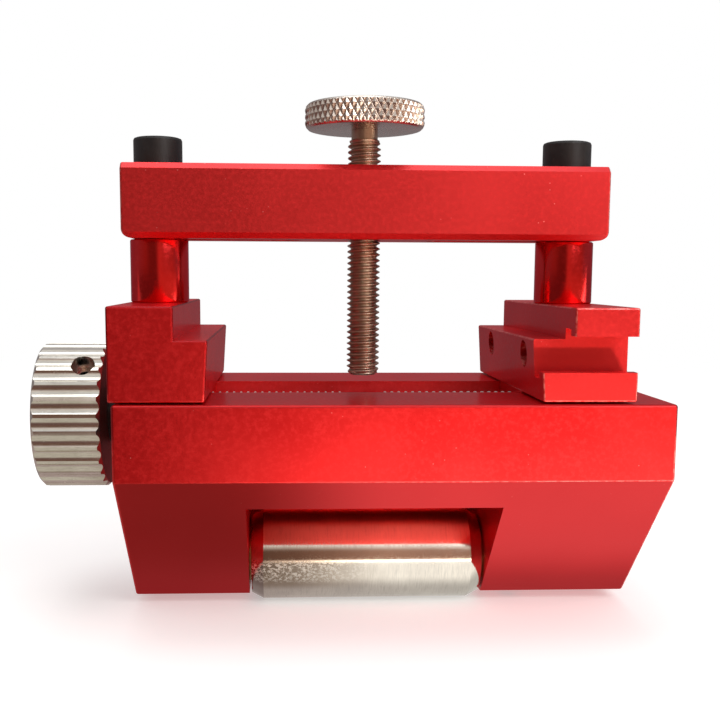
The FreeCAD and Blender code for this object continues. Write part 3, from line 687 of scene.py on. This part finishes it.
for z, r in ((0.00002, 0.00225), (0.00002, R - cham - 0.0004),
             (0.00004, R - cham - 0.0001)):
    ring_r.append(np.full(steps, r))
    ring_w.append(np.full(steps, z))
for k in range(rows):
    z = 0.00008 + (thick - 0.00016) * k / (rows - 1)
    out = R - np.clip(cham - z, 0, None) * 1.0 - np.clip(
        z - (thick - cham), 0, None) * 1.0
    ring_r.append(np.minimum(out, R - knurl(z)))
    ring_w.append(np.full(steps, z))
for z, r in ((thick - 0.00002, R - cham - 0.0001), (thick, R - cham - 0.0005),
             (thick, 0.0042), (thick - 0.00012, 0.0038)):
    ring_r.append(np.full(steps, r))
    ring_w.append(np.full(steps, z))
r, w = np.array(ring_r), np.array(ring_w)
grid = along("z", (CLAMP_X, 0, disc_lo.z), r * np.cos(ang), r * np.sin(ang), w)
verts = list(grid.reshape(-1, 3))
faces = grid_faces(len(r), steps)
for row, z in ((0, 0.0006), (len(r) - 1, thick - 0.00012)):
    verts.append(np.array((CLAMP_X, 0, disc_lo.z + z)))
    k = len(verts) - 1
    for c in range(steps):
        faces.append((k, row * steps + c, row * steps + (c + 1) % steps))
head = make("thumb_screw_head_knurled", verts, faces, "thumb_head",
            ["thumb_screw_head"], 28)
outward(head)
coat(head, M_THUMB)

# ------------------------------------------------------------- lead screw
lo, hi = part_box("lead_screw")
cen = (0, (lo.y + hi.y) / 2, (lo.z + hi.z) / 2)
keel_gap = 0.45 * MM
plate_lo, plate_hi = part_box("bearing_plate")
bush_lo, bush_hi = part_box("lead_screw_bush_right")
R = (hi.z - lo.z) / 2
x0 = lo.x
x_thread = plate_hi.x + 0.5 * MM
x_end = bush_lo.x - 0.3 * MM
waist = 2.45 * MM
screw = threaded("lead_screw_thread", "x", (x0, cen[1], cen[2]), [
    (0.3 * MM, 2.7 * MM, 3.0 * MM, 0, 1),
    (x_thread - x0 - 0.3 * MM, 3.0 * MM, 3.0 * MM, 0, 1),
    (0.02 * MM, 3.0 * MM, R - 0.6 * MM, 0, 1),
    (CLAMP_X - waist - x_thread - 0.02 * MM, R, R, 1.25 * MM, -1),
    (0.5 * MM, R - 0.31 * MM, 3.1 * MM, 0, 1),
    (2 * waist - 1.0 * MM, 3.1 * MM, 3.1 * MM, 0, 1),
    (0.5 * MM, 3.1 * MM, R - 0.31 * MM, 0, 1),
    (x_end - CLAMP_X - waist, R, R, 1.25 * MM, 1),
    (0.02 * MM, R - 0.31 * MM, 2.5 * MM, 0, 1),
    (hi.x - x_end - 0.04 * MM, 2.5 * MM, 2.5 * MM, 0, 1)],
    "lead_screw", ["lead_screw"])
coat(screw, M_LEAD)

# ------------------------------------------------------------------ roller
lo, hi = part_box("roller")
R = (hi.z - lo.z) / 2
length = hi.x - lo.x
prof = bend_profile([
    (4.5 * MM, 0.25 * MM), (4.75 * MM, 0), (R - 1.08 * MM, 0),
    (R, 2.1 * MM), (R, length - 2.1 * MM), (R - 1.08 * MM, length),
    (4.75 * MM, length), (4.5 * MM, length - 0.25 * MM)], 0.12 * MM, 3)
prof = prof + [np.array((4.5 * MM, length / 2))]
roller = lathe("roller_ground", "x", (lo.x, (lo.y + hi.y) / 2,
                                      (lo.z + hi.z) / 2),
               [tuple(p) for p in prof], "roller", ["roller"],
               steps=192, smooth=30, closed=True)
coat(roller, M_ROLLER)

# ------------------------------------------------- spacers and cap screws
for side in ("left", "right"):
    body = side + "_jaw"
    lo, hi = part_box(side + "_spacer")
    R = (hi.x - lo.x) / 2
    tall = hi.z - lo.z
    prof = bend_profile([
        (2.65 * MM, 0), (R - 0.2 * MM, 0), (R, 0.2 * MM),
        (R, tall - 0.2 * MM), (R - 0.2 * MM, tall), (2.65 * MM, tall)],
        0.08 * MM, 2)
    post = lathe(side + "_spacer_turned", "z",
                 ((lo.x + hi.x) / 2, (lo.y + hi.y) / 2, lo.z),
                 [tuple(p) for p in prof], body,
                 [side + "_spacer"], steps=128, smooth=30, closed=True)
    coat(post, M_POST)

# ------------------------------------------------------------------- stage
# Light seen by the polished parts, as linear colours.
PATCH_X, PATCH = (-0.029, 0.012), (6.2, 5.3, 4.4)
MID_L, MID_R = (0.36, 0.28, 0.23), (1.45, 1.38, 1.28)
MID_KNOB = (0.60, 0.56, 0.48)
NEAR_L, NEAR_R = (0.46, 0.37, 0.35), (0.70, 0.67, 0.63)
FAR_L, FAR_R = (0.15, 0.08, 0.07), (0.60, 0.30, 0.19)
BACK_FLOOR = (0.24, 0.21, 0.22)
LOW = [(-180, 0.26), (-120, 0.26), (-90, 0.28), (-50, 0.28), (-32, 0.17),
       (-8, 0.16), (5, 0.56), (12, 0.52), (25, 0.43), (48, 0.40), (60, 0.36),
       (76, 0.28), (100, 0.30), (130, 0.26), (180, 0.26)]
HIGH = [(-180, 0.32), (-120, 0.32), (-90, 0.50), (-40, 0.60), (-14, 0.80),
        (-3, 1.30), (10, 1.60), (30, 1.50), (60, 1.20), (90, 0.70), (130, 0.36),
        (180, 0.32)]
SKY = (0.76, 0.76, 0.76)

floor_me = bpy.data.meshes.new("floor")
S = 3.0
floor_me.from_pydata([(-S, -S, 0), (S, -S, 0), (S, S, 0), (-S, S, 0)], [],
                     [(0, 1, 2, 3)])
floor = bpy.data.objects.new("floor", floor_me)
bpy.context.scene.collection.objects.link(floor)
floor.location.z = -0.0001
fm = bpy.data.materials.new("pale_floor")
fm.use_nodes = True
nt = fm.node_tree
nt.nodes.clear()
out = nt.nodes.new("ShaderNodeOutputMaterial")
tc = nt.nodes.new("ShaderNodeTexCoord")
ln = nt.nodes.new("ShaderNodeVectorMath")
ln.operation = "LENGTH"
nt.links.new(tc.outputs["Object"], ln.inputs[0])
far = nt.nodes.new("ShaderNodeMapRange")
far.interpolation_type = "SMOOTHSTEP"
far.inputs["From Min"].default_value = 0.12
far.inputs["From Max"].default_value = 0.55
nt.links.new(ln.outputs["Value"], far.inputs["Value"])
dif = nt.nodes.new("ShaderNodeBsdfDiffuse")
dif.inputs["Color"].default_value = (0.86, 0.86, 0.86, 1)
lift = nt.nodes.new("ShaderNodeEmission")
lift.inputs["Strength"].default_value = 0.36
near = nt.nodes.new("ShaderNodeAddShader")
nt.links.new(dif.outputs[0], near.inputs[0])
nt.links.new(lift.outputs[0], near.inputs[1])
emi = nt.nodes.new("ShaderNodeEmission")
emi.inputs["Color"].default_value = (1, 1, 1, 1)
emi.inputs["Strength"].default_value = 1.0
m1 = nt.nodes.new("ShaderNodeMixShader")
nt.links.new(far.outputs[0], m1.inputs[0])
nt.links.new(near.outputs[0], m1.inputs[1])
nt.links.new(emi.outputs[0], m1.inputs[2])
# what the metal sees of the floor: a bright patch in front, to the right
sep = nt.nodes.new("ShaderNodeSeparateXYZ")
nt.links.new(tc.outputs["Object"], sep.inputs[0])


def ramp_of(value, low, high, a=0.0, b=1.0):
    n = nt.nodes.new("ShaderNodeMapRange")
    n.interpolation_type = "SMOOTHSTEP"
    nt.links.new(value, n.inputs["Value"])
    n.inputs["From Min"].default_value = low
    n.inputs["From Max"].default_value = high
    n.inputs["To Min"].default_value = a
    n.inputs["To Max"].default_value = b
    return n.outputs[0]


def times(a, b):
    n = nt.nodes.new("ShaderNodeMath")
    n.operation = "MULTIPLY"
    nt.links.new(a, n.inputs[0])
    nt.links.new(b, n.inputs[1])
    return n.outputs[0]


def blend(fac, a, b):
    n = nt.nodes.new("ShaderNodeMix")
    n.data_type = "RGBA"
    nt.links.new(fac, n.inputs[0])
    for i, v in ((6, a), (7, b)):
        if isinstance(v, bpy.types.NodeSocket):
            nt.links.new(v, n.inputs[i])
        else:
            n.inputs[i].default_value = (*v, 1.0)
    return n.outputs[2]


fx, fy = sep.outputs[0], sep.outputs[1]
patch = times(ramp_of(fx, PATCH_X[0], PATCH_X[1]),
              times(ramp_of(fy, -0.050, -0.070), ramp_of(fy, -0.135, -0.090)))
mid_floor = blend(ramp_of(fx, -0.018, 0.012), MID_L, MID_R)
mid_floor = blend(ramp_of(fx, -0.038, -0.050), mid_floor, MID_KNOB)
near_floor = blend(ramp_of(fx, -0.030, 0.030), NEAR_L, NEAR_R)
far_floor = blend(ramp_of(fx, -0.090, 0.070), FAR_L, FAR_R)
seen = blend(ramp_of(fy, -0.013, -0.006), mid_floor, near_floor)
seen = blend(ramp_of(fy, -0.055, -0.100), seen, far_floor)
seen = blend(ramp_of(fy, 0.020, 0.045), seen, BACK_FLOOR)
seen = blend(patch, seen, PATCH)
emg = nt.nodes.new("ShaderNodeEmission")
nt.links.new(seen, emg.inputs["Color"])
lp = nt.nodes.new("ShaderNodeLightPath")
m2 = nt.nodes.new("ShaderNodeMixShader")
nt.links.new(lp.outputs["Is Glossy Ray"], m2.inputs[0])
nt.links.new(m1.outputs[0], m2.inputs[1])
nt.links.new(emg.outputs[0], m2.inputs[2])
nt.links.new(m2.outputs[0], out.inputs[0])
floor_me.materials.append(fm)

world = bpy.data.worlds.new("studio")
bpy.context.scene.world = world
world.use_nodes = True
nt = world.node_tree
nt.nodes.clear()
out = nt.nodes.new("ShaderNodeOutputWorld")
tc = nt.nodes.new("ShaderNodeTexCoord")
sep = nt.nodes.new("ShaderNodeSeparateXYZ")
nt.links.new(tc.outputs["Generated"], sep.inputs[0])


def wmath(op, a, b):
    n = nt.nodes.new("ShaderNodeMath")
    n.operation = op
    for i, v in enumerate((a, b)):
        if isinstance(v, bpy.types.NodeSocket):
            nt.links.new(v, n.inputs[i])
        else:
            n.inputs[i].default_value = v
    return n.outputs[0]


def wstep(v, lo_, hi_, a, b):
    n = nt.nodes.new("ShaderNodeMapRange")
    n.interpolation_type = "SMOOTHSTEP"
    nt.links.new(v, n.inputs["Value"])
    n.inputs["From Min"].default_value = lo_
    n.inputs["From Max"].default_value = hi_
    n.inputs["To Min"].default_value = a
    n.inputs["To Max"].default_value = b
    return n.outputs[0]


az = wmath("ARCTAN2", sep.outputs[0], wmath("MULTIPLY", sep.outputs[1], -1.0))
turn = wmath("MULTIPLY_ADD", az, 1.0 / (2.0 * math.pi))
turn.node.inputs[2].default_value = 0.5


def around(stops, warm_front):
    """Colour ramp over the azimuth; the front of the horizon is warm."""
    ramp = nt.nodes.new("ShaderNodeValToRGB")
    nt.links.new(turn, ramp.inputs[0])
    els = ramp.color_ramp.elements
    while len(els) > 1:
        els.remove(els[-1])
    for i, (deg, val) in enumerate(stops):
        e = els[0] if i == 0 else els.new((deg + 180.0) / 360.0)
        e.position = (deg + 180.0) / 360.0
        g, b = warm_front if abs(deg) < 70 else (0.90, 0.92)
        e.color = (val, val * g, val * b, 1)
    return ramp.outputs[0]


def wblend(fac, a, b):
    n = nt.nodes.new("ShaderNodeMix")
    n.data_type = "RGBA"
    nt.links.new(fac, n.inputs[0])
    for i, v in ((6, a), (7, b)):
        if isinstance(v, bpy.types.NodeSocket):
            nt.links.new(v, n.inputs[i])
        else:
            n.inputs[i].default_value = (*v, 1.0)
    return n.outputs[2]


up = sep.outputs[2]
around_all = wblend(wstep(up, 0.30, 0.60, 0.0, 1.0),
                    around(LOW, (0.52, 0.36)), around(HIGH, (0.92, 0.86)))
around_all = wblend(wstep(up, 0.55, 0.85, 0.0, 1.0), around_all, SKY)
bg_light = nt.nodes.new("ShaderNodeBackground")
nt.links.new(around_all, bg_light.inputs["Color"])
bg_light.inputs["Strength"].default_value = 1.0
bg_white = nt.nodes.new("ShaderNodeBackground")
bg_white.inputs["Color"].default_value = (1, 1, 1, 1)
lp = nt.nodes.new("ShaderNodeLightPath")
mx = nt.nodes.new("ShaderNodeMixShader")
nt.links.new(lp.outputs["Is Camera Ray"], mx.inputs[0])
nt.links.new(bg_light.outputs[0], mx.inputs[1])
nt.links.new(bg_white.outputs[0], mx.inputs[2])
nt.links.new(mx.outputs[0], out.inputs[0])


def area(name, place, aim, size, power, colour=(1, 1, 1)):
    li = bpy.data.lights.new(name, "AREA")
    li.shape = "RECTANGLE"
    li.size, li.size_y = size
    li.energy = power
    li.color = colour
    ob = bpy.data.objects.new(name, li)
    bpy.context.scene.collection.objects.link(ob)
    ob.location = place
    ob.rotation_euler = (Vector(aim) - Vector(place)).to_track_quat(
        "-Z", "Y").to_euler()
    return ob


centre = (cad_lo + cad_hi) / 2
area("key", (0.42, -0.55, 0.45), centre, (0.45, 0.45), 2.5)
area("top", (-0.05, 0.05, 0.75), centre, (0.5, 0.4), 1.2)

# ------------------------------------------------------------------ camera
YAW, PITCH, ROLL = 0.04920, 0.12251, 0.00470
f = Vector((math.sin(YAW) * math.cos(PITCH), math.cos(YAW) * math.cos(PITCH),
            -math.sin(PITCH)))
r = Vector((math.cos(YAW), -math.sin(YAW), 0))
d = f.cross(r)
cr, sr = math.cos(ROLL), math.sin(ROLL)
right, down = r * cr - d * sr, r * sr + d * cr
cam_data = bpy.data.cameras.new("camera")
cam_data.sensor_width = 36.0
cam_data.lens = 1001.55 * 36.0 / 720.0
cam_data.shift_x = (360.0 - 332.09) / 720.0
cam_data.shift_y = (398.81 - 360.0) / 720.0
cam_data.clip_start = 0.01
cam_data.clip_end = 20.0
cam = bpy.data.objects.new("camera", cam_data)
bpy.context.scene.collection.objects.link(cam)
rot = Matrix((right, -down, -f)).transposed()
cam.matrix_world = Matrix.Translation(
    Vector((CLAMP_X - 0.014108, -0.176706, BASE_HI.z + 0.019568))) @ rot.to_4x4()
bpy.context.scene.camera = cam
bpy.context.scene.view_settings.view_transform = "Standard"
